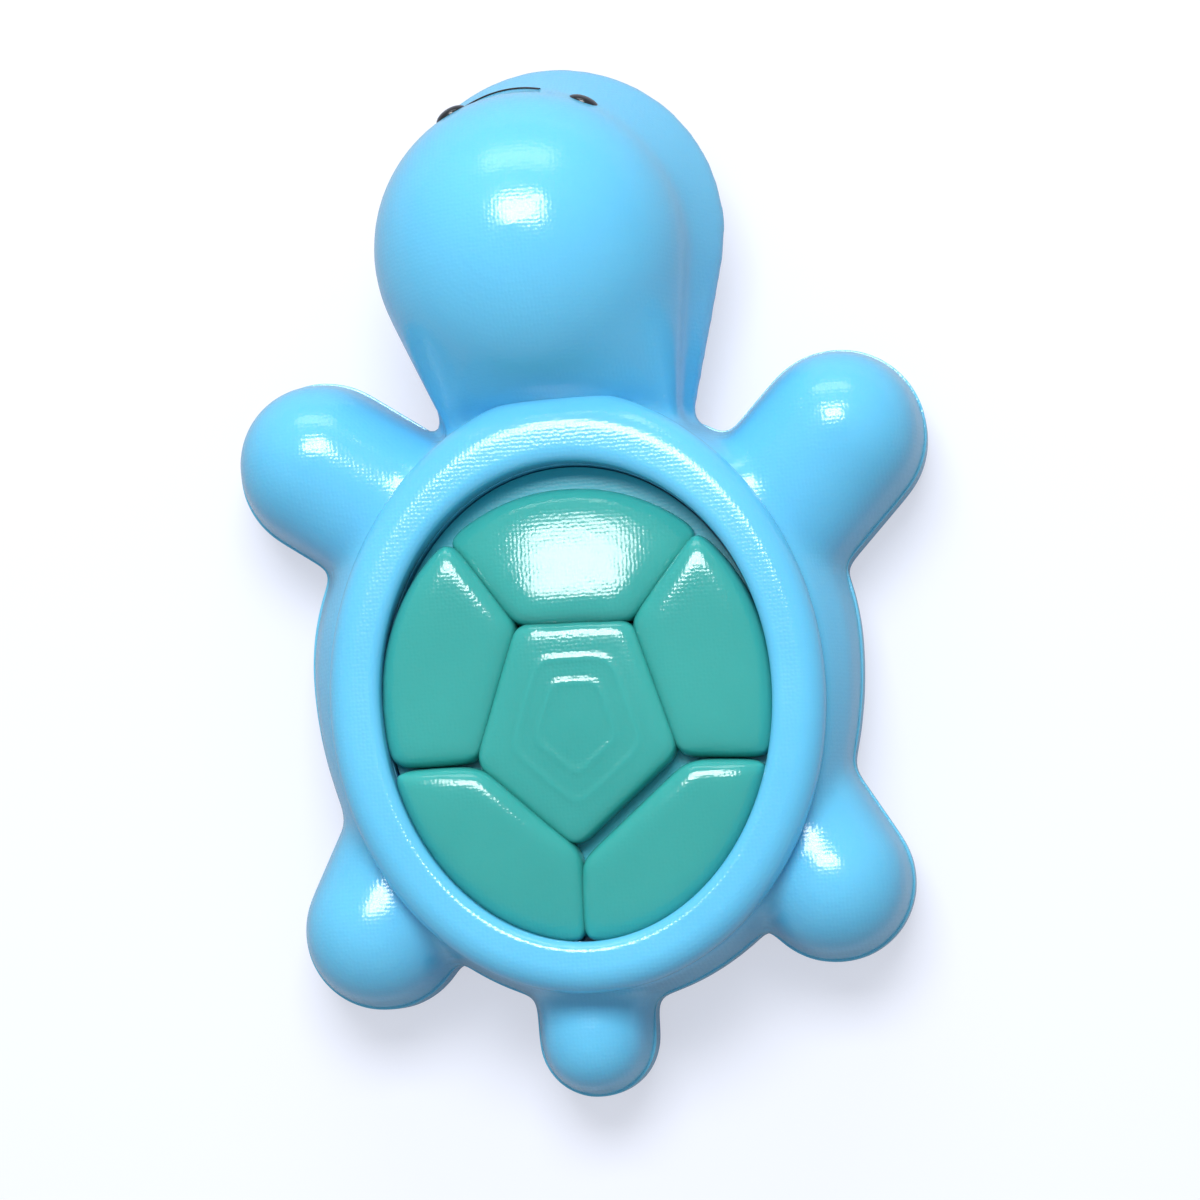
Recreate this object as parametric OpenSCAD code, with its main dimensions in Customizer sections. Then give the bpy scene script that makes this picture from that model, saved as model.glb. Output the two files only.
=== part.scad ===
// Turtle keychain: a moulded turtle with six soft scutes set in an oval shell,
// and a split key ring that hangs from a steel eye under its chin.
// Millimetres. +Y points to the head and +Z up. The origin lies under the middle
// of the shell, on the surface that the belly rests on.

/* [Shell] */
// Width of the oval opening that the scutes fill
opening_w = 26.8; // [24:0.2:30]
// Length of the oval opening that the scutes fill
opening_l = 32; // [29:0.2:36]
// Width of the round rim at the sides of the opening
rim_w = 3.6; // [3:0.1:4.6]
// Height of the rim's crest above the deck
rim_rise = 3; // [2.4:0.1:4]
// Depth of the tongue that locates the rim in the deck
rim_tongue_h = 0.8; // [0.4:0.1:1.2]
// Thickness of that tongue
rim_tongue_t = 1.4; // [1:0.1:2]
// Depth of the well below the deck
well_depth = 2; // [1.4:0.1:3]

/* [Scutes] */
// Thickness of the bed that the scutes stand on
bed_t = 1.2; // [0.8:0.1:1.8]
// Height of a scute's shoulder above the bed
scute_h = 2.6; // [2:0.1:3.4]
// Further height of the crown in a scute's middle
scute_crown = 0.5; // [0.2:0.1:1]
// Rounding along a scute's top edge
scute_edge_r = 1; // [0.5:0.1:1.4]
// Sharpness of a scute's corners seen from above, higher is crisper
corner_sharpness = 16; // [8:1:24]
// Gap between neighbouring scutes
scute_gap = 0.4; // [0.4:0.1:1.2]
// Gap between the outer scutes and the wall of the opening
scute_wall_gap = 0.35; // [0.3:0.05:1]
// How far the set of scutes lies back towards the tail
scute_set_back = 0.8; // [0:0.1:1.2]
// Width of the middle scute's front edge, between gap lines
middle_front_w = 7.8; // [6:0.2:10]
// Distance of that edge ahead of the shell's middle
middle_front_y = 4.9; // [3.5:0.1:6]
// Width of the middle scute across its side corners
middle_side_w = 14; // [12:0.2:16]
// Distance of the side corners behind the shell's middle
middle_side_y = 4.5; // [3:0.1:6]
// Distance of the rear corner behind the shell's middle
middle_rear_y = 10.7; // [9:0.1:12]
// Direction of the gaps beside the front scute, up from sideways
front_gap_angle = 52; // [40:1:62]
// Direction of the gaps at the sides, up from sideways
side_gap_angle = -2; // [-12:1:10]
// Turn of the whole set of scutes, as it was laid by hand
scute_turn = -2.5; // [-4:0.5:4]
// How far the middle scute was laid to the left of its place
middle_left = 0.2; // [0:0.05:0.2]
// How far the middle scute was laid ahead of its place
middle_ahead = 0.2; // [0:0.05:0.2]

/* [Body] */
// Height of the belly moulding, up to the parting line and the head's underside
belly_h = 5.2; // [5.2:0.1:7]
// Height of the deck above the parting line
deck_h = 7; // [6:0.1:8]
// How far the belly stands out beyond the rim at the sides
belly_side = 2.4; // [1.4:0.1:3.6]
// How far the belly stands out beyond the rim at the ends
belly_end = 0.9; // [0.6:0.1:2]
// How far the belly's widest line lies ahead of the shell's middle
belly_ahead = 3; // [0:0.1:4]
// Outward bulge of the flank halfway up to the deck
flank_bulge = 0.5; // [0:0.1:1]
// Rounding of the belly's bottom edge
belly_edge_r = 1.6; // [0.8:0.1:2.4]
// How far the limbs flare out down to the parting line
flare = 0.3; // [0.1:0.1:0.9]
// Step by which the belly stands out at the parting line
parting_step = 0.2; // [0.1:0.1:0.4]

/* [Limbs] */
// Half width of a front flipper
flipper_r = 5.6; // [4.6:0.1:6.2]
// Height of a flipper's widest line above the parting line
flipper_rise = 2.6; // [1.4:0.1:4]
// Height of a flipper at its root, as a share of that at its end
flipper_sink = 0.75; // [0.6:0.05:1]
// Direction in which a flipper's round end lies, up from sideways
flipper_angle = 44; // [38:0.5:50]
// Distance of a flipper's round end beyond the rim's edge
flipper_reach = 7; // [6:0.1:9]
// Direction in which a flipper points, up from sideways
flipper_aim = 40.5; // [36:0.5:48]
// Turn of both flippers to the left, as moulded
flipper_turn = 5; // [0:0.5:6]
// How far both flippers lie to the right, as moulded
flipper_right = 0.7; // [0:0.1:1]
// How far the left flipper lies ahead, and the right one back
flipper_skew = 0.4; // [0:0.1:0.8]
// Half width of a rear leg
leg_r = 5.1; // [4.2:0.1:5.6]
// Height of a leg's widest line above the parting line
leg_rise = 2.6; // [1.4:0.1:4]
// Height of a leg at its root, as a share of that at its end
leg_sink = 0.75; // [0.6:0.05:1]
// Direction in which a leg's round end lies, down from sideways
leg_angle = 42; // [36:0.5:48]
// Distance of a leg's round end beyond the rim's edge
leg_reach = 3.1; // [2.7:0.1:5.7]
// How far both legs lie to the right, as moulded
leg_right = 0.3; // [0:0.1:1]
// How far the right leg lies ahead, and the left one back
leg_skew = 0.5; // [0:0.1:0.8]
// Half width of the tail
tail_r = 3.6; // [3.2:0.1:4.6]
// Height of the tail's widest line above the parting line
tail_rise = 2.6; // [1.4:0.1:3.4]
// Height of the tail at its root, as a share of that at its end
tail_sink = 0.8; // [0.6:0.05:1]
// Distance of the tail's round end beyond the belly's edge
tail_reach = 2.2; // [1.2:0.1:4]
// How far the tail lies to the left, as moulded
tail_left = 1.1; // [0:0.1:1.4]

/* [Head] */
// Radius of the head's dome
head_r = 10.9; // [9.5:0.1:12]
// Distance of the dome's middle ahead of the belly's edge
head_reach = 10; // [9:0.1:12]
// Height of the dome's middle above the parting line
head_rise = 6.6; // [5:0.1:8]
// How far the dome lies to the left of the neck
dome_left = 1.1; // [0:0.1:1.4]
// Radius of the jaw under the dome
jaw_r = 11.9; // [11.4:0.1:13]
// How far the jaw lies ahead of the dome
jaw_ahead = 1.7; // [0:0.1:2.4]
// How far the jaw lies to the right of the neck
jaw_right = 0.4; // [0:0.1:0.8]
// Rounding of the jaw's lower edge
jaw_edge_r = 2; // [1:0.1:2.6]
// Radius to which the jaw has narrowed halfway up inside the dome
jaw_top_r = 6.9; // [6:0.1:7.1]
// Half width of the neck under the head
neck_r = 9.6; // [8.6:0.1:9.8]
// Height of the neck's widest line above the parting line
neck_rise = 0.2; // [0:0.1:0.6]
// Size of the neck at its root, as a share of that under the head
neck_taper = 0.85; // [0.75:0.05:1]
// Half width of an eye
eye_half_w = 1.2; // [0.8:0.05:1.4]
// Half height of an eye
eye_half_h = 1.3; // [1:0.05:1.7]
// How far an eye stands out of the face
eye_proud = 0.3; // [0.2:0.05:0.6]
// How deep an eye sits in the face
eye_sunk = 0.9; // [0.7:0.05:1.2]
// Turn of each eye away from the nose
eye_turn = 26; // [20:1:32]
// Height of the eyes above the middle of the dome
eye_rise = 1.8; // [0:0.1:2.4]

/* [Key ring] */
// Outer diameter of the split ring
ring_od = 20; // [16:0.5:22]
// Width of the ring's wire, across the ring
ring_wire_w = 1.1; // [0.9:0.1:1.3]
// Thickness of the ring's wire, along the ring's axis
ring_wire_t = 0.62; // [0.5:0.02:0.7]
// Bevel along the edges of the ring's wire
ring_bevel = 0.12; // [0.05:0.01:0.2]
// Slit between the ring's two turns
ring_slit = 0.12; // [0.1:0.02:0.2]
// Angle over which the wire crosses from one turn to the other
ring_cross_angle = 25; // [15:5:40]
// Radius of the hole in the eye that holds the ring
loop_hole_r = 1.4; // [1.3:0.05:1.5]
// Radius of that eye's wire
loop_wire_r = 0.5; // [0.4:0.05:0.55]
// Gap between that eye and the chest
loop_gap = 0.3; // [0.2:0.1:1]
// Length of that eye's shank inside the belly
shank_l = 6; // [4:0.5:9]
// Clearance about the shank
shank_clear = 0.05; // [0.03:0.01:0.1]
// Clearance of the ring and its eye from the floor and from each other
ring_clear = 0.08; // [0.05:0.01:0.15]

/* [Fits] */
// Clearance where one moulding locates in another
fit_clear = 0.1; // [0.05:0.01:0.2]

/* [Hidden] */

body_blue = "#6cc2ee";
scute_teal = "#48b4a6";
bed_teal = "#2b8f86";
eye_black = "#1c2226";
steel_grey = "#c3c7cc";

round_fn = 72;
blend_fn = 36;
outline_points = 72;
arc_step = 10;
thin = 0.02;

// Heights and ovals that the mouldings share
deck_z = belly_h + deck_h;
well_z = deck_z - well_depth;
scute_z = well_z + bed_t;
oval = opening_l / opening_w;
rim_mid_x = (opening_w + rim_w) / 2;
rim_out_x = opening_w / 2 + rim_w;
rim_out_y = rim_out_x * oval;
rim_mid_h = rim_rise - rim_w / 2;
belly_x = rim_out_x + belly_side;
belly_y = rim_out_y + belly_end;

// Places of the limbs and the head, seen from above
function polar(radius, angle) = radius * [cos(angle), sin(angle)];
function rim_radius(angle) = 1 / norm([cos(angle) / rim_out_x, sin(angle) / rim_out_y]);
function flipper_tip(side) = [0, -side * flipper_skew]
    + polar(rim_radius(flipper_angle) + flipper_reach, flipper_angle);
function flipper_root(side) = flipper_tip(side)
    - polar(flipper_reach + rim_w, flipper_aim + side * flipper_turn);
function leg_tip(side) = [0, side * leg_skew]
    + polar(rim_radius(leg_angle) + leg_reach, -leg_angle);
leg_root = polar((opening_w - leg_r) / 2, -leg_angle / 2);
tail_tip = [-tail_left, -belly_y - tail_reach];
tail_root = [-tail_left, -rim_mid_x];
head_y = belly_y + head_reach;
head_z = belly_h + head_rise;
jaw_y = head_y + jaw_ahead;
neck_y = rim_mid_x;

// Corners of the middle scute along the gap lines, and the gaps that leave them
function turned(p) = polar(norm(p), atan2(p.y, p.x) + scute_turn);
middle_corners = [
    turned([middle_front_w / 2, middle_front_y]),
    turned([-middle_front_w / 2, middle_front_y]),
    turned([-middle_side_w / 2, -middle_side_y]),
    turned([0, -middle_rear_y]),
    turned([middle_side_w / 2, -middle_side_y])
];
gap_angles = [
    for (a = [front_gap_angle, 180 - front_gap_angle, 180 - side_gap_angle, -90, side_gap_angle])
        a + scute_turn
];
sides = len(middle_corners);
function corner(i) = middle_corners[i % sides];
function gap_angle(i) = gap_angles[i % sides];

// Straight edges of a scute, each as a point on a gap's middle line and its outward angle
function out_angle(i) = let(run = corner(i + 1) - corner(i)) atan2(run.y, run.x) - 90;
middle_edges = [for (i = [0:sides - 1]) [corner(i), out_angle(i)]];
function outer_edges(i) = [
    [corner(i), out_angle(i) + 180],
    [corner(i), gap_angle(i) - 90],
    [corner(i + 1), gap_angle(i + 1) + 90]
];

// Distance from a point to the opening's wall and to an edge, both drawn in by an inset
function wall_reach(from, angle, inset) = let(
    half = [opening_w / 2, opening_l / 2 - scute_set_back] - (scute_wall_gap + inset) * [1, 1],
    start = [from.x / half.x, (from.y + scute_set_back) / half.y],
    ray = [cos(angle) / half.x, sin(angle) / half.y],
    slope = start * ray
) (sqrt(pow(slope, 2) + ray * ray * (1 - start * start)) - slope) / (ray * ray);
function edge_reach(edge, from, angle, inset) = let(
    room = (edge[0] - from) * polar(1, edge[1]) - scute_gap / 2 - inset,
    toward = cos(angle - edge[1])
) toward > 0 ? room / toward : 2 * opening_l;

// Distance to a scute's outline: the nearest limit counts most, and the blend rounds corners
function outline_reach(edges, from, angle, inset) = let(
    reaches = concat(
        wall_reach(from, angle, inset),
        [for (edge = edges) edge_reach(edge, from, angle, inset)]
    ),
    weights = [for (reach = reaches) pow(reach, -corner_sharpness)]
) pow(weights * [for (reach = reaches) 1], -1 / corner_sharpness);
function outer_middle(i) = let(foot = (corner(i) + corner(i + 1)) / 2)
    foot + polar(wall_reach(foot, out_angle(i), 0) / 2, out_angle(i));

// A scute's section: how far each level lies inside the outline, its spread and its height
edge_angles = [0, 30, 60, 90];
crown_spreads = [2 / 3, 1 / 3];
scute_levels = concat(
    [[0, 1, 0]],
    [for (a = edge_angles)
        [scute_edge_r * (1 - cos(a)), 1, scute_h - scute_edge_r * (1 - sin(a))]],
    [for (spread = crown_spreads)
        [scute_edge_r, spread, scute_h + scute_crown * (1 - pow(spread, 2))]]
);

// The key ring lies in the bottom of its eye, with its far side down on the floor
loop_out_r = loop_hole_r + 2 * loop_wire_r;
loop_y = belly_y + loop_gap + loop_out_r;
loop_z = loop_out_r + ring_clear;
ring_mid_r = (ring_od - ring_wire_w) / 2;
ring_half_h = ring_wire_t + ring_slit / 2;
ring_seat = sqrt(pow(loop_hole_r - ring_clear, 2) - pow(ring_wire_w / 2, 2)) - ring_half_h;
ring_near_z = loop_z - ring_seat;
ring_far_z = ring_half_h + ring_clear;
ring_tilt = asin((ring_near_z - ring_far_z) / (2 * ring_mid_r));

// Half sections of a limb, from its middle line outwards and up
function arc(middle, radius, from, to) =
    [for (a = [from:arc_step:to]) middle + polar(radius, a)];
function upper_section(half_w, rise) = concat(
    [[0, 0], [half_w + flare, 0]],
    arc([0, rise], half_w, 0, 90 - arc_step),
    [[0, rise + half_w]]
);
function lower_section(half_w) = concat(
    [[0, 0]],
    arc([half_w - belly_edge_r, belly_edge_r], belly_edge_r, -90, 0),
    [[half_w, belly_h], [0, belly_h]]
);
function lower_half_w(half_w) = half_w + flare + parting_step;
function other_side(section) =
    [for (i = [len(section) - 2:-1:1]) [-section[i].x, section[i].y]];

// A limb from a round end at its tip to its root, where its section is scaled
module limb(tip, root, section, root_scale = 1) {
    run = root - tip;
    translate(tip) rotate(atan2(run.y, run.x)) {
        rotate(90) rotate_extrude(angle = 180, $fn = round_fn) polygon(section);
        rotate([90, 0, 90]) linear_extrude(norm(run), scale = root_scale)
            polygon(concat(section, other_side(section)));
    }
}

// What is made for the right side, laid on the side given by 1 or -1
module on_side(side, right) {
    translate([right, 0, 0]) mirror([1 - side, 0, 0]) children();
}

module upper_limbs() {
    for (side = [1, -1]) {
        on_side(side, flipper_right)
            limb(flipper_tip(side), flipper_root(side), upper_section(flipper_r, flipper_rise),
                [1, flipper_sink]);
        on_side(side, leg_right)
            limb(leg_tip(side), leg_root, upper_section(leg_r, leg_rise), [1, leg_sink]);
    }
    limb(tail_tip, tail_root, upper_section(tail_r, tail_rise), [1, tail_sink]);
}

module lower_limbs() {
    for (side = [1, -1]) {
        on_side(side, flipper_right)
            limb(flipper_tip(side), flipper_root(side), lower_section(lower_half_w(flipper_r)));
        on_side(side, leg_right)
            limb(leg_tip(side), leg_root, lower_section(lower_half_w(leg_r)));
    }
    limb(tail_tip, tail_root, lower_section(lower_half_w(tail_r)));
}

// A thin egg-shaped slice with its lower face at z and its widest line ahead of the middle
function egg_point(half_w, half_l, ahead, angle) =
    [half_w * cos(angle), ahead + (half_l - sign(sin(angle)) * ahead) * sin(angle)];
module slice(half_w, half_l, z, ahead) {
    outline = [for (a = [0:360 / round_fn:359]) egg_point(half_w, half_l, ahead, a)];
    translate([0, 0, z]) linear_extrude(thin) polygon(outline);
}

// A straight-walled oval in the proportion of the opening
module oval_disc(half_w, z, h) {
    translate([0, 0, z]) linear_extrude(h) scale([1, oval]) circle(half_w, $fn = round_fn);
}

// Deck: its flank rises from the belly's oval to the narrower oval of the rim
module deck() {
    hull() {
        slice(belly_x - parting_step, belly_y - parting_step, belly_h, belly_ahead);
        slice((belly_x + rim_out_x) / 2 - parting_step + flank_bulge,
            (belly_y + rim_out_y) / 2 - parting_step, belly_h + deck_h / 2, belly_ahead / 2);
        slice(rim_out_x, rim_out_y, deck_z - thin, 0);
    }
}

// Dome: a ball, cut off level with the parting line
module head_dome() {
    translate([-dome_left, head_y, belly_h]) rotate_extrude($fn = round_fn) intersection() {
        translate([0, head_rise]) circle(head_r, $fn = round_fn);
        square(head_rise + head_r);
    }
}

// Jaw: the face flares out of the dome to a rounded chin
module jaw() {
    edge = arc([jaw_r - jaw_edge_r, belly_h + jaw_edge_r], jaw_edge_r, -90, 0);
    top_z = head_z + head_r / 2;
    translate([jaw_right, jaw_y, 0]) rotate_extrude($fn = round_fn)
        polygon(concat([[0, belly_h]], edge, [[jaw_top_r, top_z], [0, top_z]]));
}

// An oval bead in the face, on the side given by 1 or -1
module eye_bead(side) {
    half_d = (eye_proud + eye_sunk) / 2;
    level_r = sqrt(pow(head_r, 2) - pow(eye_rise, 2));
    translate([-dome_left, head_y, head_z + eye_rise]) rotate(-side * eye_turn)
        translate([0, level_r + eye_proud - half_d, 0])
            scale([eye_half_w, half_d, eye_half_h]) sphere(1, $fn = blend_fn);
}

module body_upper() {
    color(body_blue) difference() {
        union() {
            deck();
            translate([0, 0, belly_h]) upper_limbs();
            head_dome();
            jaw();
            translate([0, 0, belly_h])
                limb([0, head_y], [0, neck_y], upper_section(neck_r, neck_rise), neck_taper);
        }
        oval_disc(opening_w / 2, well_z, 2 * well_depth);
        oval_disc(rim_out_x + fit_clear, deck_z, 2 * head_r);
        rim_tongue(fit_clear);
        eye_bead(1);
        eye_bead(-1);
    }
}

module body_lower() {
    color(body_blue) difference() {
        union() {
            for (side = [1, -1])
                translate([0, belly_ahead, 0]) scale([1, (belly_y - side * belly_ahead) / belly_x, 1])
                    rotate(90 - 90 * side) rotate_extrude(angle = 180, $fn = round_fn)
                        polygon(lower_section(belly_x));
            lower_limbs();
        }
        translate([0, belly_y + shank_l, loop_z]) rotate([90, 0, 0])
            cylinder(2 * shank_l + fit_clear, r = loop_wire_r + shank_clear, $fn = blend_fn);
    }
}

// Tongue under the rim, or with clearance the groove that takes it
module rim_tongue(clear) {
    half_t = rim_tongue_t / 2 + clear;
    depth = rim_tongue_h + clear;
    difference() {
        oval_disc(rim_mid_x + half_t, deck_z - depth, 2 * depth);
        oval_disc(rim_mid_x - half_t, deck_z - 2 * depth, 4 * depth);
    }
}

module shell_rim() {
    color(body_blue) {
        translate([0, 0, deck_z]) scale([1, oval, 1]) rotate_extrude($fn = round_fn)
            intersection() {
                union() {
                    translate([rim_mid_x, rim_mid_h]) circle(rim_w / 2, $fn = round_fn);
                    translate([rim_mid_x - rim_w / 2, 0]) square([rim_w, rim_mid_h]);
                }
                translate([rim_mid_x - rim_w, 0]) square([2 * rim_w, 2 * rim_rise]);
            }
        intersection() {
            rim_tongue(0);
            oval_disc(rim_out_x, deck_z - rim_tongue_h, rim_tongue_h + thin);
        }
    }
}

module shell_bed() {
    color(bed_teal) oval_disc(opening_w / 2 - fit_clear, well_z, bed_t);
}

// Solid skin over rings of points, drawn together to a foot below and a peak above
module loft(rings, foot, peak) {
    count = len(rings[0]);
    top = (len(rings) - 1) * count;
    points = concat([for (ring = rings) each ring], [foot, peak]);
    foot_i = len(points) - 2;
    peak_i = len(points) - 1;
    faces = [
        for (i = [0:count - 1]) let(j = (i + 1) % count) each concat(
            [[i, j, foot_i], [top + j, top + i, peak_i]],
            [for (low = [0:count:top - count]) let(high = low + count)
                each [[low + i, high + i, high + j], [low + i, high + j, low + j]]]
        )
    ];
    polyhedron(points, faces);
}

// A pad inside its edges and the wall, with a round shoulder and a low crown
module scute(edges, middle) {
    rings = [
        for (level = scute_levels) [
            for (i = [0:outline_points - 1])
                let(angle = 360 * i / outline_points,
                    reach = level[1] * outline_reach(edges, middle, angle, level[0]))
                    concat(middle + polar(reach, angle), scute_z + level[2])
        ]
    ];
    foot = concat(middle, scute_z);
    peak = concat(middle, scute_z + scute_h + scute_crown);
    color(scute_teal) loft(rings, foot, peak);
}

module front_scute() scute(outer_edges(0), outer_middle(0));
module left_front_scute() scute(outer_edges(1), outer_middle(1));
module left_rear_scute() scute(outer_edges(2), outer_middle(2));
module right_rear_scute() scute(outer_edges(3), outer_middle(3));
module right_front_scute() scute(outer_edges(4), outer_middle(4));
module centre_scute() translate([-middle_left, middle_ahead, 0]) scute(middle_edges, [0, 0]);

module left_eye() color(eye_black) eye_bead(-1);
module right_eye() color(eye_black) eye_bead(1);

// Steel eye: a closed loop across the chest on a straight shank
module ring_eye() {
    color(steel_grey) translate([0, loop_y, loop_z]) {
        rotate([0, 90, 0]) rotate_extrude($fn = round_fn)
            translate([loop_hole_r + loop_wire_r, 0]) circle(loop_wire_r, $fn = blend_fn);
        translate([0, -loop_hole_r - loop_wire_r, 0]) rotate([90, 0, 0])
            cylinder(loop_wire_r + loop_gap + shank_l, r = loop_wire_r, $fn = blend_fn);
    }
}

// Bevelled section of the ring's wire, set out from the ring's axis
module wire_section(inset) {
    x = ring_wire_w / 2 - inset;
    y = ring_wire_t / 2 - inset;
    b = ring_bevel;
    translate([ring_mid_r, 0]) polygon([
        [x - b, -y], [x, b - y], [x, y - b], [x - b, y],
        [b - x, y], [-x, y - b], [-x, b - y], [b - x, -y]
    ]);
}

// One flat turn of the ring, open where the wire crosses to the other turn
module ring_turn(z) {
    translate([0, 0, z]) rotate(ring_cross_angle)
        rotate_extrude(angle = 360 - ring_cross_angle, $fn = round_fn) wire_section(0);
}

// Ramp from the lower turn to the upper one, its ends let into both
module ring_ramp(rise) {
    steps = 5;
    step = ring_cross_angle / steps;
    end_t = 0.3;
    for (i = [0:steps - 1])
        hull()
            for (j = [i, i + 1])
                translate([0, 0, rise * (j / steps - 1 / 2)]) rotate([90, 0, step * j])
                    linear_extrude(end_t, center = true) wire_section(thin);
}

// Split ring: two flat turns that lie on each other, joined by the ramp
module key_ring() {
    rise = ring_wire_t + ring_slit;
    color(steel_grey) translate([0, loop_y, ring_near_z]) rotate([-ring_tilt, 0, 0])
        translate([0, ring_mid_r, 0]) rotate(ring_cross_angle) {
            ring_turn(-rise / 2);
            ring_ramp(rise);
            ring_turn(rise / 2);
        }
}

body_upper();
body_lower();
shell_rim();
shell_bed();
front_scute();
left_front_scute();
right_front_scute();
centre_scute();
left_rear_scute();
right_rear_scute();
left_eye();
right_eye();
ring_eye();
key_ring();
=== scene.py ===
# %% [markdown]
# # A moulded turtle keychain
# The real thing is a palm-sized charm: two glossy blue mouldings that close on each other
# like a clam, a round rim glued on top, six soft scutes laid into the rim like a mosaic,
# and a split ring on a steel eye under the chin. The packed model gives every piece its
# size and place, so this lesson only has to give each one its skin and its finish.

# %% Load the frame
from math import atan2, cos, exp, pi, radians, sin, tan

import bmesh
import bpy
from mathutils import Matrix, Vector
from mathutils.bvhtree import BVHTree


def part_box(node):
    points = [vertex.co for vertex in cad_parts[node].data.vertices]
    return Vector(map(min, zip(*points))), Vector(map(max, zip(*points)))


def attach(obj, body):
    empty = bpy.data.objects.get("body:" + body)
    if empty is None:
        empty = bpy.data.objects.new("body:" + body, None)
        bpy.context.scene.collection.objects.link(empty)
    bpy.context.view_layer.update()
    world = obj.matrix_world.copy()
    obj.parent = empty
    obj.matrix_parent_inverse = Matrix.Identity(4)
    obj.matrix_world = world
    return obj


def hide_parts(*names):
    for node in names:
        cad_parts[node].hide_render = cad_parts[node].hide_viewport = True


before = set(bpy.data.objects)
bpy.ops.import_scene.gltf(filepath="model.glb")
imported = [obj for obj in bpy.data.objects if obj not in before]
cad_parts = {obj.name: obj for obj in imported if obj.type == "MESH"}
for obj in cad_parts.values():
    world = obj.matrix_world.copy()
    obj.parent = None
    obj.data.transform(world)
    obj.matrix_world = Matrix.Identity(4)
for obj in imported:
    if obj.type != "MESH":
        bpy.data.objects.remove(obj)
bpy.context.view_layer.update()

MM = 0.001

# %% [markdown]
# ## Sizes
# Typing every number again would let the looks drift away from the construction. Here the
# heights and ovals are read from the boxes of the packed nodes, and only what a box can't
# tell, such as where a flipper ends, is written down. Shapes are laid out in millimetres
# and shrunk to metres once, when their mesh is made.

# %% Heights and ovals from the frame, in millimetres
RIM_TONGUE = 0.8
FIT_CLEAR = 0.1
BELLY_BEYOND_RIM = Vector((2.4, 0.9))
BELLY_AHEAD = 3


def node_box(node):
    low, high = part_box(node)
    return low / MM, high / MM


parting = node_box("body_lower")[1].z
head_top = node_box("body_upper")[1].z
scute_top = node_box("centre_scute")[1].z
rim_low, rim_high = node_box("shell_rim")
bed_low, bed_high = node_box("shell_bed")
deck = rim_low.z + RIM_TONGUE
rim_out = Vector((rim_high.x, rim_high.y))
opening = Vector((bed_high.x + FIT_CLEAR, bed_high.y + FIT_CLEAR))
belly = rim_out + BELLY_BEYOND_RIM
print("parting", round(parting, 2), "deck", round(deck, 2), "opening", opening, "belly", belly)

# %% [markdown]
# ## Shader maths
# Finishes are easier to read as sums than as boxes and wires. This class wraps a socket, so
# that an expression such as `1 - mask` adds its Math node. One method adds any other node,
# and one fills the sockets of a node that is there already.

# %% A socket that can be calculated with
class Shade:
    def __init__(self, tree, socket=None):
        self.tree = tree
        self.socket = socket

    def fill(self, node, inputs):
        """Sets the sockets of a node, or links them where the value is worked out by nodes."""
        for name, value in inputs.items():
            if isinstance(value, Shade):
                self.tree.links.new(value.socket, node.inputs[name])
            else:
                node.inputs[name].default_value = value

    def add(self, kind, settings=None, inputs=None, output=0):
        """Adds a node, sets it up, fills its sockets, and gives one of its outputs."""
        node = self.tree.nodes.new(kind)
        for name, value in (settings or {}).items():
            setattr(node, name, value)
        self.fill(node, inputs or {})
        return Shade(self.tree, node.outputs[output])

    def math(self, operation, first, second):
        return self.add("ShaderNodeMath", {"operation": operation}, {0: first, 1: second})

    def __add__(self, other):
        return self.math("ADD", self, other)

    def __sub__(self, other):
        return self.math("SUBTRACT", self, other)

    def __rsub__(self, other):
        return self.math("SUBTRACT", other, self)

    def __mul__(self, other):
        return self.math("MULTIPLY", self, other)

    __radd__ = __add__
    __rmul__ = __mul__


print("a Shade can", [name for name in vars(Shade) if not name.startswith("_")])


# %% Colours and new materials
def colour(red, green, blue):
    """A screen colour of 0 to 255 as the linear colour, with alpha, that a socket takes."""
    channels = (red / 255, green / 255, blue / 255)
    return (*(((c + 0.055) / 1.055) ** 2.4 if c > 0.04045 else c / 12.92 for c in channels), 1)


def finish(name):
    """A new material, its principled shader and a place to start its maths."""
    material = bpy.data.materials.new(name)
    material.use_nodes = True
    return material, material.node_tree.nodes["Principled BSDF"], Shade(material.node_tree)


print("grey of 188 is", round(colour(188, 188, 188)[0], 3))

# %% [markdown]
# ## Moulded plastic
# The mouldings come out of a tool whose face was blasted, so the gloss carries a fine, even
# stipple that sparkles round each highlight. A bump map of small cells gives that without
# millions of faces. The pigment is never quite even, so a slow noise shifts the colour a
# little, and the gloss with it. Light also sinks a little way into the blue plastic, and
# further into the soft teal, which is what subsurface scattering is for.

# %% A finish for whatever comes out of a mould
STIPPLE_PITCH = 0.27 * MM
SCATTER_REACH = 1.6 * MM
GLOSS_DRIFT = 0.12
NOISE_MIDDLE = 0.5


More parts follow.
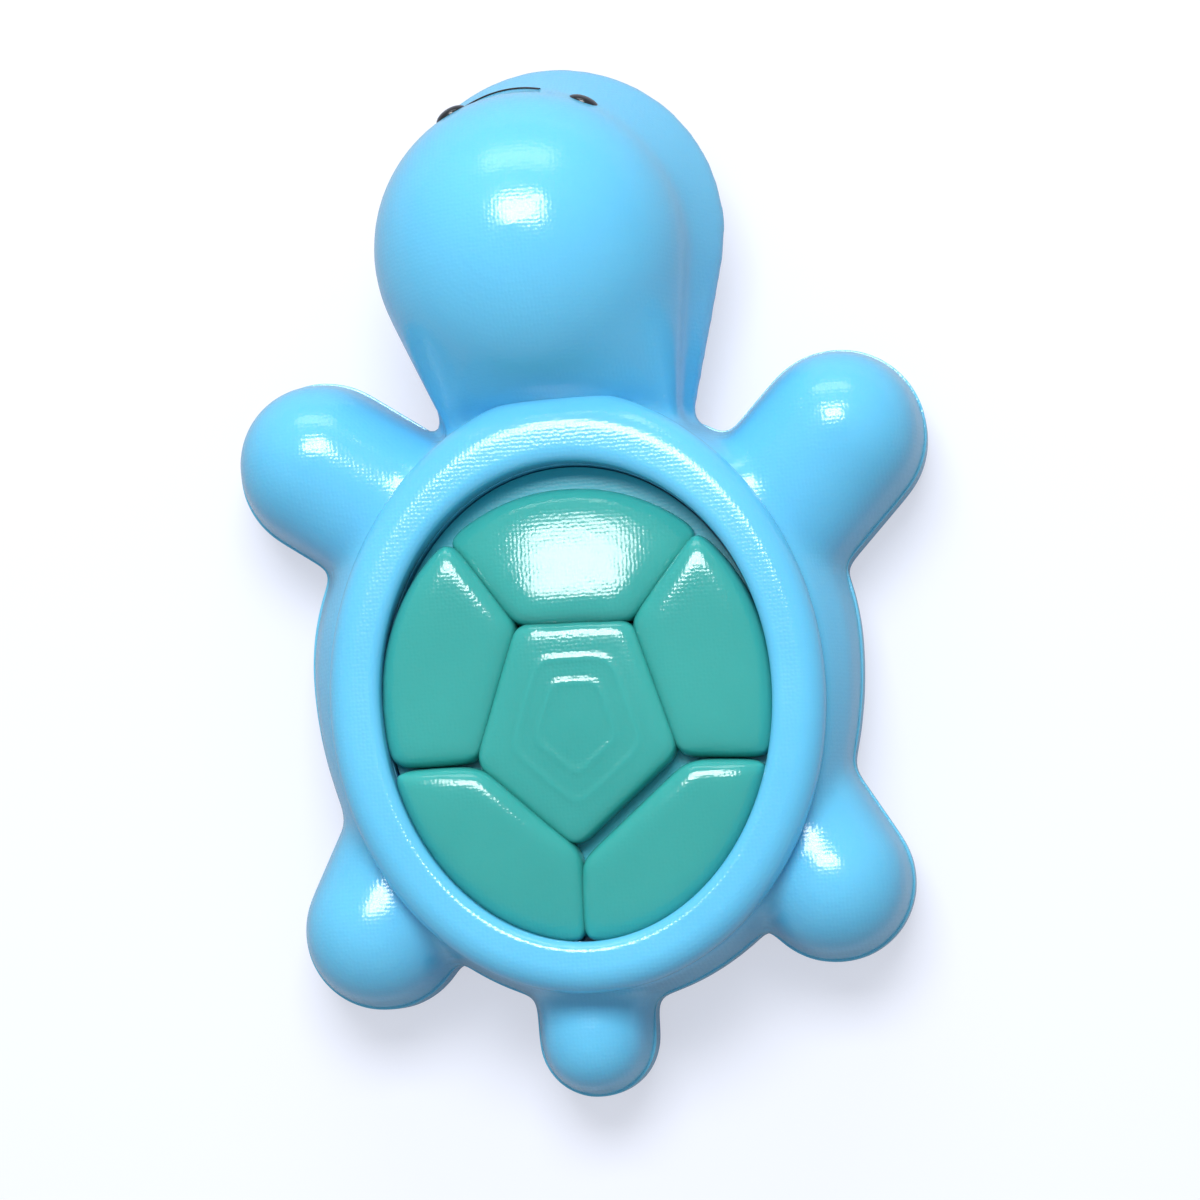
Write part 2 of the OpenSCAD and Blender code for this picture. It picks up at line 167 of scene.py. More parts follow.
def moulded(name, light, deep, gloss, stipple, scatter=0.0, depth=(0.4, 0.9, 1.0)):
    """A finish of two pigments, with a roughness, a stipple's height in mm and a scatter."""
    material, shader, start = finish(name)
    place = start.add("ShaderNodeTexCoord", output="Object")
    cloud = start.add(
        "ShaderNodeTexNoise", inputs={"Vector": place, "Scale": 90, "Detail": 3}, output="Fac"
    )
    pigment = start.add(
        "ShaderNodeMix", {"data_type": "RGBA"}, {"Factor": cloud, 6: deep, 7: light}, output=2
    )
    cells = start.add(
        "ShaderNodeTexVoronoi", {"feature": "SMOOTH_F1"},
        {"Vector": place, "Scale": 1 / STIPPLE_PITCH, "Randomness": 0.4, "Smoothness": 0.6},
    )
    bump = start.add(
        "ShaderNodeBump", inputs={"Strength": 1, "Distance": stipple * MM, "Height": 1 - cells}
    )
    start.fill(shader, {
        "Base Color": pigment,
        "Roughness": gloss + (cloud - NOISE_MIDDLE) * GLOSS_DRIFT,
        "Normal": bump,
        "Specular IOR Level": 0.6,
        "Subsurface Weight": scatter,
        "Subsurface Radius": depth,
        "Subsurface Scale": SCATTER_REACH,
    })
    return material


print("stipple", round(STIPPLE_PITCH / MM, 2), "mm apart")

# %% Mix the blue, the two teals and the black
blue_plastic = moulded(
    "blue_plastic", colour(110, 203, 242), colour(96, 190, 232), gloss=0.17, stipple=0.017,
    scatter=0.35, depth=(0.3, 0.8, 1.0),
)
teal_rubber = moulded(
    "teal_rubber", colour(69, 177, 171), colour(56, 162, 157), gloss=0.15, stipple=0.015,
    scatter=0.8,
)
bed_teal = moulded(
    "bed_teal", colour(22, 190, 212), colour(14, 176, 198), gloss=0.35, stipple=0.01, scatter=0.5
)
black_gloss = moulded(
    "black_gloss", colour(34, 38, 42), colour(24, 27, 30), gloss=0.15, stipple=0.002
)
print("finishes", [m.name for m in (blue_plastic, teal_rubber, bed_teal, black_gloss)])

# %% [markdown]
# ## Lathe and wrap
# Nearly every form of the mouldings is round. A profile that is turned about an upright axis,
# as on a lathe, gives a ball, a mound or a bowl, and two of those in one tight skin, the convex
# hull, give a limb that runs evenly from one to the other. That takes fewer steps than a loft.

# %% Turn a profile
MERGE_DIST = 1e-5


def arc(middle, radius, start, end, steps, squash=1):
    """Points (across, up) on a round stretch between two angles in degrees."""
    angles = [radians(start + (end - start) * i / steps) for i in range(steps + 1)]
    return [(middle[0] + radius * cos(a), middle[1] + squash * radius * sin(a)) for a in angles]


def revolve(bm, profile, centre=(0, 0), steps=64):
    """Turns a profile of (radius, height) points about the upright through centre."""
    x, y = centre
    before = set(bm.verts)
    verts = [bm.verts.new((x + radius, y, height)) for radius, height in profile]
    edges = [bm.edges.new(pair) for pair in zip(verts, verts[1:])]
    bmesh.ops.spin(
        bm, geom=verts + edges, cent=(x, y, 0), axis=(0, 0, 1),
        angle=2 * pi, steps=steps, use_merge=True,
    )
    fresh = [v for v in bm.verts if v not in before]
    bmesh.ops.remove_doubles(bm, verts=fresh, dist=MERGE_DIST)
    return [v for v in bm.verts if v not in before]


print("points on a quarter round of 8 steps", len(arc((0, 0), 1, 0, 90, steps=8)))


# %% Wrap shapes, and draw a circle out to an egg
OVAL_STEPS = 96


def wrap(bm, verts):
    """Replaces shapes by one tight skin round all of them."""
    bmesh.ops.delete(bm, geom=list({e for v in verts for e in v.link_edges}), context="EDGES_FACES")
    made = bmesh.ops.convex_hull(bm, input=verts)
    inside = [v for v in made["geom_interior"] if isinstance(v, bmesh.types.BMVert)]
    bmesh.ops.delete(bm, geom=inside, context="VERTS")


def to_egg(verts, radius, half, ahead):
    """Stretches a round to an oval whose widest line lies ahead of the middle, as an egg's does."""
    for v in verts:
        reach = half.y - ahead if v.co.y > 0 else half.y + ahead
        v.co.x *= half.x / radius
        v.co.y = ahead + v.co.y * reach / radius


def oval_ring(bm, half, height, ahead=0):
    """A level ring of points on an oval of two half widths."""
    made = bmesh.ops.create_circle(bm, segments=OVAL_STEPS, radius=1)["verts"]
    to_egg(made, 1, half, ahead)
    bmesh.ops.translate(bm, verts=made, vec=(0, 0, height))
    return made


print("an oval has", OVAL_STEPS, "points")

# %% [markdown]
# ## Upper moulding
# Head, neck, flippers, legs, tail and deck are one soft shell. Modelled by hand it would take
# a long session of sculpting; here each form is laid down as a simple closed shape, and the
# shapes are melted together afterwards. The deck comes first: a low tub that narrows from the
# parting line to the seat of the rim. It goes a little below the parting line, so that the
# melted skin can be cut off level there.

# %% Lay down the deck
SPARE = 1.5
STEP = 0.06
FLANK_BULGE = Vector((0.5, 0))
inset = Vector((STEP, STEP))
flank = (belly + rim_out) / 2 - inset + FLANK_BULGE
bm = bmesh.new()
rings = oval_ring(bm, belly - inset, parting - SPARE, BELLY_AHEAD)
rings += oval_ring(bm, belly - inset, parting, BELLY_AHEAD)
rings += oval_ring(bm, flank, (parting + deck) / 2, BELLY_AHEAD / 2)
rings += oval_ring(bm, rim_out, deck)
wrap(bm, rings)
print("deck", len(bm.verts), "vertices")

# %% [markdown]
# Each limb is a ball at its end, wrapped with a lower mound at its root, so that it sinks
# towards the rim as the real ones do. The real limbs aren't quite mirrored, so each has a tip
# and a root of its own.

# %% Lay down the limbs
FLIPPER = {"half": 5.6, "rise": 2.6, "sink": 0.75}
LEG = {"half": 5.1, "rise": 2.6, "sink": 0.58}
TAIL = {"half": 3.6, "rise": 2.6, "sink": 0.8}
limbs = [
    (FLIPPER, (18.95, 17.23), (11.52, 9.67)),
    (FLIPPER, (-17.55, 18.03), (-8.92, 11.87)),
    (LEG, (16.18, -13.80), (10.43, -3.89)),
    (LEG, (-15.58, -14.80), (-9.83, -3.89)),
    (TAIL, (-1.1, -23.4), (-1.1, -15.2)),
]
FLARE = 0.45
LIMB_STEPS = 48


def mound(half, rise, foot, crest=1):
    """Profile of a limb: flared foot, upright flank and round top."""
    top = arc((0, parting + rise), half, 0, 90, steps=10, squash=crest)
    return [(0, foot), (half + FLARE, foot), (half + FLARE, parting)] + top


for spec, tip, root in limbs:
    half, rise, sink = spec["half"], spec["rise"], spec["sink"]
    ball = mound(half, rise, parting - SPARE)
    low_mound = mound(half, rise * sink, parting - SPARE, sink)
    wrap(bm, revolve(bm, ball, tip, LIMB_STEPS) + revolve(bm, low_mound, root, LIMB_STEPS))
print("deck and limbs", len(bm.verts), "vertices")

# %% [markdown]
# The head is a dome over a wider jaw, and it hangs free of the ground. From the dome the neck
# slopes down to the rim, so the dome is wrapped with the nape: a bent line of points along the
# rim's front, highest in the middle. The jaw is wrapped with a mound at the neck's root.

# %% Profiles of dome and jaw
HEAD_R = 10.9
DOME = Vector((-1.1, 31.2))
DOME_FROM = -36
JAW = Vector((0.4, 32.9))
JAW_R = 11.9
JAW_EDGE_R = 2.0
JAW_TOP_R = 6.9
JAW_LIFT = 0.1
dome_z = head_top - HEAD_R
jaw_top = dome_z + HEAD_R / 2
underside = parting + JAW_LIFT
dome = [(0, underside)] + arc((0, dome_z), HEAD_R, DOME_FROM, 90, steps=24)
jaw = [(0, underside)]
jaw += arc((JAW_R - JAW_EDGE_R, underside + JAW_EDGE_R), JAW_EDGE_R, -90, 0, steps=8)
jaw += [(JAW_TOP_R, jaw_top), (0, jaw_top)]
print("dome centre at", round(dome_z, 2), "jaw reaches up to", round(jaw_top, 2))

# %% Lay down head and neck
NECK_ROOT = Vector((0, 20.5))
NECK_HALF = 8.6
NECK_RISE = 0.2
NECK_CREST = 0.8
NECK_STEPS = 64
NAPE_HALF = 8
NAPE_AHEAD = 0.2
NAPE_PROUD = 0.3
NAPE_BEND = 0.022
NAPE_ROUND = 0.035
HEAD_STEPS = 96
neck = mound(NECK_HALF, NECK_RISE, underside, NECK_CREST)
nape = [
    bm.verts.new((x, rim_out.y + NAPE_AHEAD - NAPE_BEND * x * x, height))
    for x in range(-NAPE_HALF, NAPE_HALF + 1)
    for height in (underside, deck + NAPE_PROUD - NAPE_ROUND * x * x)
]
wrap(bm, revolve(bm, dome, DOME, HEAD_STEPS) + nape)
wrap(bm, revolve(bm, jaw, JAW, HEAD_STEPS) + revolve(bm, neck, NECK_ROOT, NECK_STEPS))
print("all forms of the upper moulding", len(bm.verts), "vertices")

# %% [markdown]
# ## Melting the forms together
# The forms overlap like lumps of clay. A voxel remesh melts them into one skin, and passes of
# smoothing turn the creases into the fillets that a mould maker would cut. Modifiers are made
# final at once, so that the mesh that is looked at is the mesh that is kept.

# %% From a bmesh to an object
def show(name, data):
    """A new object at the origin that carries a mesh, a lamp or a lens."""
    holder = bpy.data.objects.new(name, data)
    bpy.context.scene.collection.objects.link(holder)
    return holder


def add_piece(name, bm):
    """A new object at the origin with the shapes of bm, in metres."""
    bmesh.ops.scale(bm, verts=bm.verts, vec=(MM, MM, MM))
    bmesh.ops.recalc_face_normals(bm, faces=bm.faces)
    mesh = bpy.data.meshes.new(name)
    bm.to_mesh(mesh)
    bm.free()
    return show(name, mesh)


def settle(piece):
    """Makes a piece's modifiers final."""
    bpy.context.view_layer.update()
    evaluated = piece.evaluated_get(bpy.context.evaluated_depsgraph_get())
    mesh = bpy.data.meshes.new_from_object(evaluated)
    piece.modifiers.clear()
    piece.data = mesh


upper = add_piece("upper_moulding", bm)
print("loose forms", len(upper.data.polygons), "faces")


# %% One skin
def one_skin(piece, voxel, passes):
    """Melts overlapping shapes into one skin and softens the creases between them."""
    remesh = piece.modifiers.new("one_skin", "REMESH")
    remesh.mode = "VOXEL"
    remesh.voxel_size = voxel * MM
    settle(piece)
    bm = bmesh.new()
    bm.from_mesh(piece.data)
    for _ in range(passes):
        bmesh.ops.smooth_vert(
            bm, verts=bm.verts, factor=0.5,
            use_axis_x=True, use_axis_y=True, use_axis_z=True,
        )
    bm.to_mesh(piece.data)
    bm.free()


BODY_VOXEL = 0.36
one_skin(upper, BODY_VOXEL, passes=24)
print("one skin", len(upper.data.polygons), "faces")

# %% Cut it off at the parting line
CUT_DIST = 1e-7
PARTING_EDGE = 0.06


def level_cut(piece, height, keep_above, edge):
    """Cuts a piece off level and breaks the new edge with a small round."""
    bm = bmesh.new()
    bm.from_mesh(piece.data)
    bmesh.ops.bisect_plane(
        bm, geom=bm.verts[:] + bm.edges[:] + bm.faces[:], dist=CUT_DIST,
        plane_co=(0, 0, height * MM), plane_no=(0, 0, 1),
        clear_inner=keep_above, clear_outer=not keep_above,
    )
    cut_line = [e for e in bm.edges if e.is_boundary]
    bmesh.ops.holes_fill(bm, edges=cut_line, sides=0)
    bmesh.ops.bevel(
        bm, geom=cut_line, offset=edge * MM, segments=3, profile=0.5, affect="EDGES",
        material=-1, clamp_overlap=True,
    )
    bm.to_mesh(piece.data)
    bm.free()


level_cut(upper, parting, keep_above=True, edge=PARTING_EDGE)
print("upper moulding", len(upper.data.polygons), "faces before carving")

# %% [markdown]
# ## Well and seat
# The shell lies in an oval well, and the rim sits on the deck round it. Both are cut with an
# oval plug and a boolean, which leaves the crisp line that the real rim shows. The well is
# longer towards the tail than towards the head.

# %% Sink the well and the seat of the rim
REAR_LONGER = 0.8
RIM_TUCK = Vector((0.3, 0.3))
CLEAR_ABOVE = 9
SEAT_DEEP = 0.9


def oval_plug(half, low, high):
    """An upright oval block between two heights, to cut with."""
    bm = bmesh.new()
    wrap(bm, oval_ring(bm, half, low) + oval_ring(bm, half, high))
    return bm


def draw_to_tail(bm, share):
    """Draws the rear half out towards the tail, each point by its share."""
    for v in bm.verts:
        if v.co.y < 0:
            v.co.y *= 1 + share(v) * REAR_LONGER / opening.y


def carve(piece, cutter):
    """Takes the cutter's shape out of a piece and removes the cutter."""
    cut = piece.modifiers.new("carve", "BOOLEAN")
    cut.operation = "DIFFERENCE"
    cut.solver = "EXACT"
    cut.object = cutter
    settle(piece)
    bpy.data.objects.remove(cutter)


well = oval_plug(opening, bed_low.z, deck + CLEAR_ABOVE)
draw_to_tail(well, lambda v: 1)
carve(upper, add_piece("well_cutter", well))
seat = oval_plug(rim_out - RIM_TUCK, deck, deck + SEAT_DEEP)
carve(upper, add_piece("seat_cutter", seat))
print("upper moulding", len(upper.data.polygons), "faces with well and seat")


# %% Give a piece its finish and body, and hide the packed node it stands for
def paint(mesh, material):
    mesh.materials.clear()
    mesh.materials.append(material)


def fit_out(piece, material, node, body="turtle", crisp=40):
    """Smooth shading, finish and body for a piece, and hides the packed node that it stands for."""
    piece.data.polygons.foreach_set("use_smooth", [True] * len(piece.data.polygons))
    piece.data.set_sharp_from_angle(angle=radians(crisp))
    paint(piece.data, material)
    if node:
        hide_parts(node)
    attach(piece, body)
    print(piece.name, len(piece.data.polygons), "faces")


fit_out(upper, blue_plastic, "body_upper")

# %% [markdown]
# ## Belly moulding
# The lower half is a shallow tray that stands out a hair beyond the upper one, so the parting
# line shows as a fine step all the way round. It is melted together in the same way.

# %% Lay down the belly
BELLY_EDGE_R = 1.6
BELLY_STEPS = 128


def tray(half):
    """Profile of the lower half: flat underside, round edge and upright wall."""
    top = parting + SPARE
    edge = arc((half - BELLY_EDGE_R, BELLY_EDGE_R), BELLY_EDGE_R, -90, 0, steps=8)
    return [(0, 0)] + edge + [(half, top), (0, top)]


bm = bmesh.new()
to_egg(revolve(bm, tray(belly.x), steps=BELLY_STEPS), belly.x, belly, BELLY_AHEAD)
for spec, tip, root in limbs:
    profile = tray(spec["half"] + FLARE + STEP)
    wrap(bm, revolve(bm, profile, tip, LIMB_STEPS) + revolve(bm, profile, root, LIMB_STEPS))
lower = add_piece("belly_moulding", bm)
one_skin(lower, BODY_VOXEL, passes=12)
level_cut(lower, parting, keep_above=False, edge=PARTING_EDGE)
fit_out(lower, blue_plastic, "body_lower")

# %% [markdown]
# ## Shell rim
# The rim is a thick round cord of plastic in an oval. Turning its section about the middle of
# the shell and then stretching the result to the oval keeps it even and perfectly smooth. At
# the tail the opening reaches further back than the oval, so the inner side is drawn out. At
# the front the outer side is drawn out towards the neck, and its top leans the same way and
# catches the light.

# %% Turn the rim
OUTER_R = 1.9
INNER_R = 0.8
FOOT_R = 0.25
RIM_STEPS = 192
section = arc((rim_out.x - OUTER_R, rim_high.z - OUTER_R), OUTER_R, 0, 90, steps=16)
section += arc((opening.x + INNER_R, rim_high.z - INNER_R), INNER_R, 90, 180, steps=16)
section += arc((opening.x + FOOT_R, deck + FOOT_R), FOOT_R, 180, 270, steps=4)
section += arc((rim_out.x - FOOT_R, deck + FOOT_R), FOOT_R, -90, 0, steps=4)
bm = bmesh.new()
revolve(bm, section + section[:1], steps=RIM_STEPS)
rim_wide = rim_out.x - opening.x
inner_share = {v: (rim_out.x - v.co.xy.length) / rim_wide for v in bm.verts}
bmesh.ops.scale(bm, verts=bm.verts, vec=(1, rim_out.y / rim_out.x, 1))
print("rim", len(bm.verts), "vertices,", round(rim_wide, 2), "mm wide")

# %% Draw out its front and rear
FRONT_DRAW = 0.7
DRAW_FOCUS = 6
FRONT_LEAN = 0.9
LEAN_FOCUS = 24
draw_to_tail(bm, inner_share.get)
rim_rise = rim_high.z - deck
for v in bm.verts:
    up = (v.co.z - deck) / rim_rise
    front = max(v.co.y / rim_out.y, 0)
    v.co.y += FRONT_DRAW * (1 - inner_share[v]) * front ** DRAW_FOCUS
    v.co.z -= FRONT_LEAN * (1 - inner_share[v]) * up * front ** LEAN_FOCUS
fit_out(add_piece("rim_cord", bm), blue_plastic, "shell_rim", crisp=60)

# %% [markdown]
# ## Scutes
# The scutes look like a cut mosaic, so they are made like one: an oval disc is cut along the
# gap lines, what is left is drawn up to a block, and the block is melted until its shoulders
# are round, because the real ones are soft castings. Melting shrinks a block, so most gaps
# are written as less than zero. Each top is then raised to a low crown.

# %% Gap lines of the mosaic
CORNERS = [(3.9, 4.9), (-3.9, 4.9), (-7, -4.5), (0, -10.7), (7, -4.5)]
SIDES = len(CORNERS)
GAP_ANGLES = [52, 128, 182, -90, -2]
MIDDLE_GAPS = [-0.45, -0.45, -0.3, 0.7, -0.45]
SIDE_GAPS = [-0.45, -0.45, 0.05, -0.45, 0.05]
SCUTE_TURN = radians(-2.5)
turned = [Vector(corner) for corner in CORNERS]
for corner in turned:
    corner.rotate(Matrix.Rotation(SCUTE_TURN, 2))
gap_angles = [radians(a) + SCUTE_TURN for a in GAP_ANGLES]
print("middle corners", [tuple(round(c, 2) for c in corner) for corner in turned])


# %% Edges of each scute
def toward(angle):
    return Vector((cos(angle), sin(angle)))


def edge_out(i):
    """Outward angle of the middle scute's edge i."""
    run = turned[(i + 1) % SIDES] - turned[i]
    return atan2(run.y, run.x) - pi / 2


def outer_edges(i):
    """The three cut edges of an outer scute, each as a point, an outward angle and a gap."""
    j = (i + 1) % SIDES
    return [
        (turned[i], edge_out(i) + pi, MIDDLE_GAPS[i]),
        (turned[i], gap_angles[i] - pi / 2, SIDE_GAPS[i]),
        (turned[j], gap_angles[j] + pi / 2, SIDE_GAPS[j]),
    ]


middle_edges = [(turned[i], edge_out(i), MIDDLE_GAPS[i]) for i in range(SIDES)]
print("edges of the middle scute", len(middle_edges), "and of an outer one", len(outer_edges(0)))

# %% Cut a block out of the oval
WALL_GAP = -0.2
SET_BACK = 1.8
SKIRT = 2
SHOULDER_DROP = 0.5
DISC_STEPS = 120
TRIM_DIST = 1e-4
CORNER_R = 0.9
BLUNT_ANGLE = 2.7
shoulder = scute_top - SHOULDER_DROP


def cut_block(edges):
    """A block between cut edges. Corners under the blunt angle, in radians, are rounded."""
    bm = bmesh.new()
    bmesh.ops.create_circle(bm, cap_ends=True, segments=DISC_STEPS, radius=1)
    front = [v for v in bm.verts if v.co.y > 0]
    rear = [v for v in bm.verts if v.co.y <= 0]
    wide = opening.x - WALL_GAP
    bmesh.ops.scale(bm, verts=front, vec=(wide, opening.y - WALL_GAP - SET_BACK, 1))
    bmesh.ops.scale(bm, verts=rear, vec=(wide, opening.y - WALL_GAP + REAR_LONGER, 1))
    for point, angle, gap in edges:
        bmesh.ops.bisect_plane(
            bm, geom=bm.verts[:] + bm.edges[:] + bm.faces[:], dist=TRIM_DIST, clear_outer=True,
            plane_co=(*(point - toward(angle) * gap / 2), 0), plane_no=(*toward(angle), 0),
        )
    loops = [loop for face in bm.faces for loop in face.loops]
    bmesh.ops.bevel(
        bm, geom=[loop.vert for loop in loops if loop.calc_angle() < BLUNT_ANGLE],
        offset=CORNER_R, segments=5, profile=0.5, affect="VERTICES",
        material=-1, clamp_overlap=True,
    )
    bmesh.ops.translate(bm, verts=bm.verts, vec=(0, 0, bed_high.z - SKIRT))
    raised = bmesh.ops.extrude_face_region(bm, geom=bm.faces[:])["geom"]
    top = [g for g in raised if isinstance(g, bmesh.types.BMVert)]
    bmesh.ops.translate(bm, verts=top, vec=(0, 0, shoulder - bed_high.z + SKIRT))
    return bm


print("blocks stand from", round(bed_high.z - SKIRT, 2), "to", round(shoulder, 2))

# %% Melt a block and crown it
CROWN = 0.5
SCUTE_EDGE = 0.05


def raise_top(piece, radii, slope):
    """Crowns a scute's top to two radii and leans it by two rises per millimetre."""
    corners = [Vector(c) / MM for c in piece.bound_box]
    low, high = corners[0], corners[6]  # the lowest and the highest of the eight
    middle = (low + high) / 2
    for v in piece.data.vertices:
        part = (v.co.z / MM - low.z) / (high.z - low.z)
        x, y = v.co.x / MM - middle.x, v.co.y / MM - middle.y
        crown = CROWN - x * x / (2 * radii[0]) - y * y / (2 * radii[1])
        v.co.z += part * (crown + slope[0] * x + slope[1] * y) * MM


def scute(name, edges, radii, slope, voxel):
    piece = add_piece(name, cut_block(edges))
    one_skin(piece, voxel, passes=110)
    level_cut(piece, bed_high.z, keep_above=True, edge=SCUTE_EDGE)
    raise_top(piece, radii, slope)
    return piece


print("a crown rises by", CROWN, "mm")

# %% [markdown]
# Each scute was laid in by hand and lies a little differently, which shows in where its
# highlight sits. So each one has its own crown radii, across and along, and its own lean.

# %% Cast the outer scutes
OUTER_SCUTES = {
    "front_scute": ((28, 42), (-0.043, -0.17)),
    "left_front_scute": ((40, 120), (0.02, 0.06)),
    "left_rear_scute": ((40, 60), (0, 0.14)),
    "right_rear_scute": ((40, 60), (0, 0.14)),
    "right_front_scute": ((30, 120), (-0.05, 0.04)),
}
for i, (node, (radii, slope)) in enumerate(OUTER_SCUTES.items()):
    cast = scute(node + "_cast", outer_edges(i), radii, slope, voxel=0.2)
    fit_out(cast, teal_rubber, node)

# %% [markdown]
# The middle scute carries growth rings, as a real turtle's do. A gauge that is 0 in the middle
# and 1 on the cut edges gives pentagons of every size, so a low rib follows two of them. It
# gets smaller voxels than the others, because the ribs are fine.

# %% Cast the middle scute and raise its growth rings
RIBS = (0.4, 0.64)
RIB_HALF = 0.04
RIB_RISE = 0.06
ROUNDNESS = 10
TOP_BAND = 0.3
centre = scute("centre_scute_cast", middle_edges, (40, 90), (0, 0.05), voxel=0.13)
heart = sum(turned, Vector((0, 0))) / SIDES
for v in centre.data.vertices:
    if v.co.z / MM > shoulder - TOP_BAND:
        spot = v.co.xy / MM - heart
        shares = [
            max(spot.dot(toward(angle)) / (point - heart).dot(toward(angle)), 0)
            for point, angle, _ in middle_edges
        ]
        gauge = sum(share ** ROUNDNESS for share in shares) ** (1 / ROUNDNESS)
        v.co.z += RIB_RISE * MM * sum(exp(-(((gauge - rib) / RIB_HALF) ** 2)) for rib in RIBS)
fit_out(centre, teal_rubber, "centre_scute")

# %% [markdown]
# ## Smile
# The smile is a thin stroke of paint on the jaw. A drawn line would float or sink, so its
# points are found by looking at the jaw from outside, towards its axis, and noting where the
# skin is met. The stroke is then a fine tube along those points.

# %% Find the smile on the jaw
SMILE_TURNS = range(-33, 2)
SMILE_MIDDLE = -16
SMILE_HEIGHT = 10.6
SMILE_SLOPE = 0.0906
SMILE_CURL = 0.00176
LOOK_FROM = 30
skin = bmesh.new()
skin.from_mesh(upper.data)
jaw_skin = BVHTree.FromBMesh(skin)
stroke = []
for turn in SMILE_TURNS:
    angle, along = radians(turn), turn - SMILE_MIDDLE
    height = SMILE_HEIGHT + SMILE_SLOPE * along + SMILE_CURL * along ** 2
    outside = Vector((JAW.x + LOOK_FROM * sin(angle), JAW.y + LOOK_FROM * cos(angle), height)) * MM
    met = jaw_skin.ray_cast(outside, Vector((-sin(angle), -cos(angle), 0)))[0]
    stroke.append(met / MM)
skin.free()
print("smile", len(stroke), "points")

# %% Paint the smile
STROKE_R = 0.11
bm = bmesh.new()
loops = []
for here, after in zip(stroke, stroke[1:]):
    aim = (after - here).to_track_quat("Z", "Y").to_matrix().to_4x4()
    made = bmesh.ops.create_circle(
        bm, cap_ends=here in (stroke[0], stroke[-2]), segments=8, radius=STROKE_R,
        matrix=Matrix.Translation(here) @ aim,
    )["verts"]
    loops.append([e for e in bm.edges if e.verts[0] in made and e.verts[1] in made])
for loop, following in zip(loops, loops[1:]):
    bmesh.ops.bridge_loops(bm, edges=loop + following)
fit_out(add_piece("smile_stroke", bm), black_gloss, None)

# %% [markdown]
# ## Bed, eyes and ring
# These pieces have the right shape as they were packed, so they keep their solids and only
# get a finish. The ring and its eye are nickel-plated steel: a metal whose polish is broken
# by a fine grain.

# %% Finishes of the pieces that keep their packed solids
nickel_plate, shader, start = finish("nickel_plate")
place = start.add("ShaderNodeTexCoord", output="Object")
grain = start.add(
    "ShaderNodeTexNoise", inputs={"Vector": place, "Scale": 2500, "Detail": 2}, output="Fac"
)
start.fill(shader, {
    "Base Color": colour(205, 207, 210),
    "Metallic": 1,
    "Roughness": 0.16 + grain * 0.14,
})
for node, material in (
    ("shell_bed", bed_teal), ("left_eye", black_gloss), ("right_eye", black_gloss),
    ("ring_eye", nickel_plate), ("key_ring", nickel_plate),
):
    paint(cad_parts[node].data, material)
    print(node, "has", material.name)

# %% [markdown]
# ## Light
# A long soft lamp stands over the head end, as a window would, and draws the bright patch on
# every round form. A dim low one lights what faces the head end, and a pale sky fills the rest.

# %% Hang two windows and a sky
LAMP_AWAY = 0.40
LAMP_TARGET = Vector((0, 0, 0.01))


def window(name, lean, half_wide, half_high, power):
    """A lamp that leans towards the head end and fills the given half angles, in degrees."""
    lamp = bpy.data.lights.new(name, "AREA")
    lamp.shape = "RECTANGLE"
    lamp.size = 2 * LAMP_AWAY * tan(radians(half_wide))
    lamp.size_y = 2 * LAMP_AWAY * tan(radians(half_high))
    lamp.energy = power
    holder = show(name, lamp)
    holder.location = LAMP_AWAY * Vector((0, sin(radians(lean)), cos(radians(lean))))
    aim = (LAMP_TARGET - holder.location).to_track_quat("-Z", "Y")
    holder.rotation_euler = aim.to_euler()
    return holder


lamps = [
    window("high_window", lean=24, half_wide=15, half_high=9.5, power=1.45),
    window("low_window", lean=62, half_wide=20, half_high=8, power=0.3),
]
world = bpy.data.worlds.new("pale_sky")
bpy.context.scene.world = world
world.use_nodes = True
Shade(world.node_tree).fill(
    world.node_tree.nodes["Background"], {"Color": colour(244, 247, 252), "Strength": 0.42}
)
print("lamp energies", [lamp.data.energy for lamp in lamps])

# %% [markdown]
# ## Floor
# The floor is a pale grey sheet, which takes the shadow and throws little light back. To the
# camera, and in the gloss of the pieces, it also glows a little, so that it comes out white
# without more light on the charm.

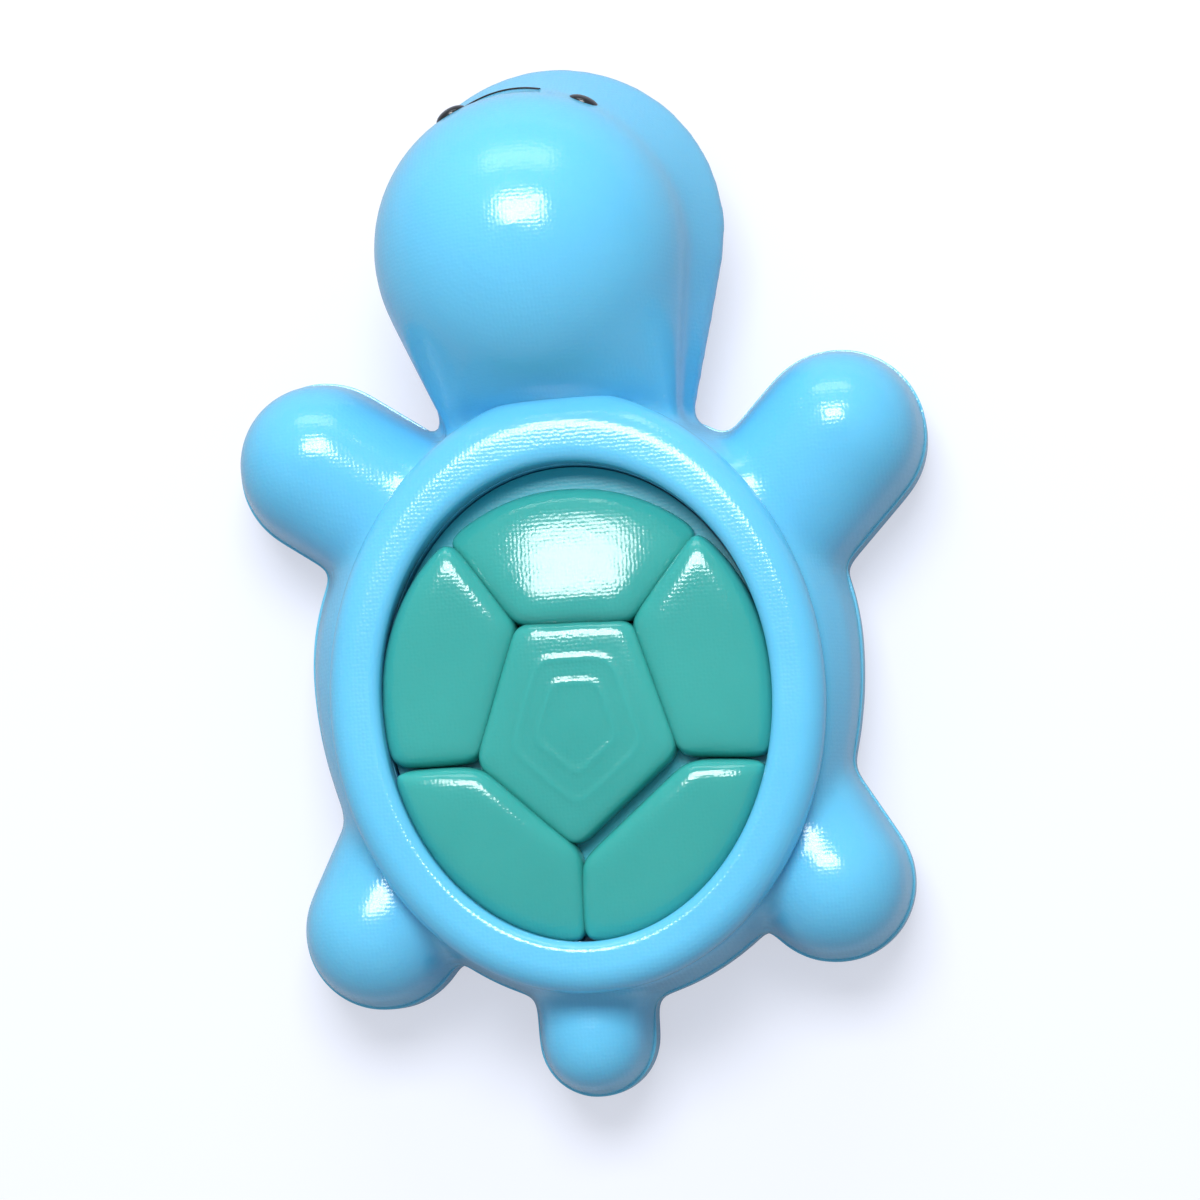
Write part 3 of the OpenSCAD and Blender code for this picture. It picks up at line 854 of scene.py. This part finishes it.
# %% Lay the floor
FLOOR_HALF = 1500
SEEN_GLOW = 0.6
MIRRORED_GLOW = 0.12
bm = bmesh.new()
bmesh.ops.create_grid(bm, x_segments=1, y_segments=1, size=FLOOR_HALF)
floor = add_piece("floor", bm)
floor_pale, shader, start = finish("floor_pale")
start.fill(shader, {
    "Base Color": colour(162, 166, 176), "Roughness": 0.6, "Specular IOR Level": 0.1,
})
in_view = start.add("ShaderNodeLightPath", output="Is Camera Ray")
mirrored = start.add("ShaderNodeLightPath", output="Is Glossy Ray")
strength = in_view * SEEN_GLOW + mirrored * MIRRORED_GLOW
glow = start.add(
    "ShaderNodeEmission", inputs={"Color": colour(243, 245, 255), "Strength": strength}
)
plain = Shade(floor_pale.node_tree, shader.outputs[0])
both = start.add("ShaderNodeAddShader", inputs={0: plain, 1: glow})
start.fill(floor_pale.node_tree.nodes["Material Output"], {"Surface": both})
paint(floor.data, floor_pale)
print("floor", floor.data.materials[0].name)

# %% [markdown]
# ## Camera
# The view is from above, a little to the right and from the tail's side, with a long lens and
# a slight roll. The camera stands on the line through the middle of the shell and looks at the
# middle of the picture.

# %% Set up the camera
CAMERA_AWAY = 300
LEAN_RIGHT = radians(6)
LEAN_BACK = radians(4)
ROLL = radians(4.2)
SHELL_MIDDLE = Vector((0, 0, 8))
PICTURE_MIDDLE = Vector((1.55, 6.85, 8))
away = Vector((tan(LEAN_RIGHT), -tan(LEAN_BACK), 1)).normalized()
stand = SHELL_MIDDLE + away * CAMERA_AWAY
back = (stand - PICTURE_MIDDLE).normalized()
right = Vector((0, 1, 0)).cross(back).normalized()
rolled = right * cos(ROLL) - back.cross(right) * sin(ROLL)
lens = bpy.data.cameras.new("photo_camera")
lens.sensor_width = 36
lens.lens = 129.6
lens.clip_start = 0.01
camera = show("photo_camera", lens)
axes = Matrix((rolled, back.cross(rolled), back)).transposed()
camera.matrix_world = Matrix.Translation(stand * MM) @ axes.to_4x4()
bpy.context.scene.camera = camera
bpy.context.scene.view_settings.view_transform = "Standard"
print("camera stands at", stand)

# %% [markdown]
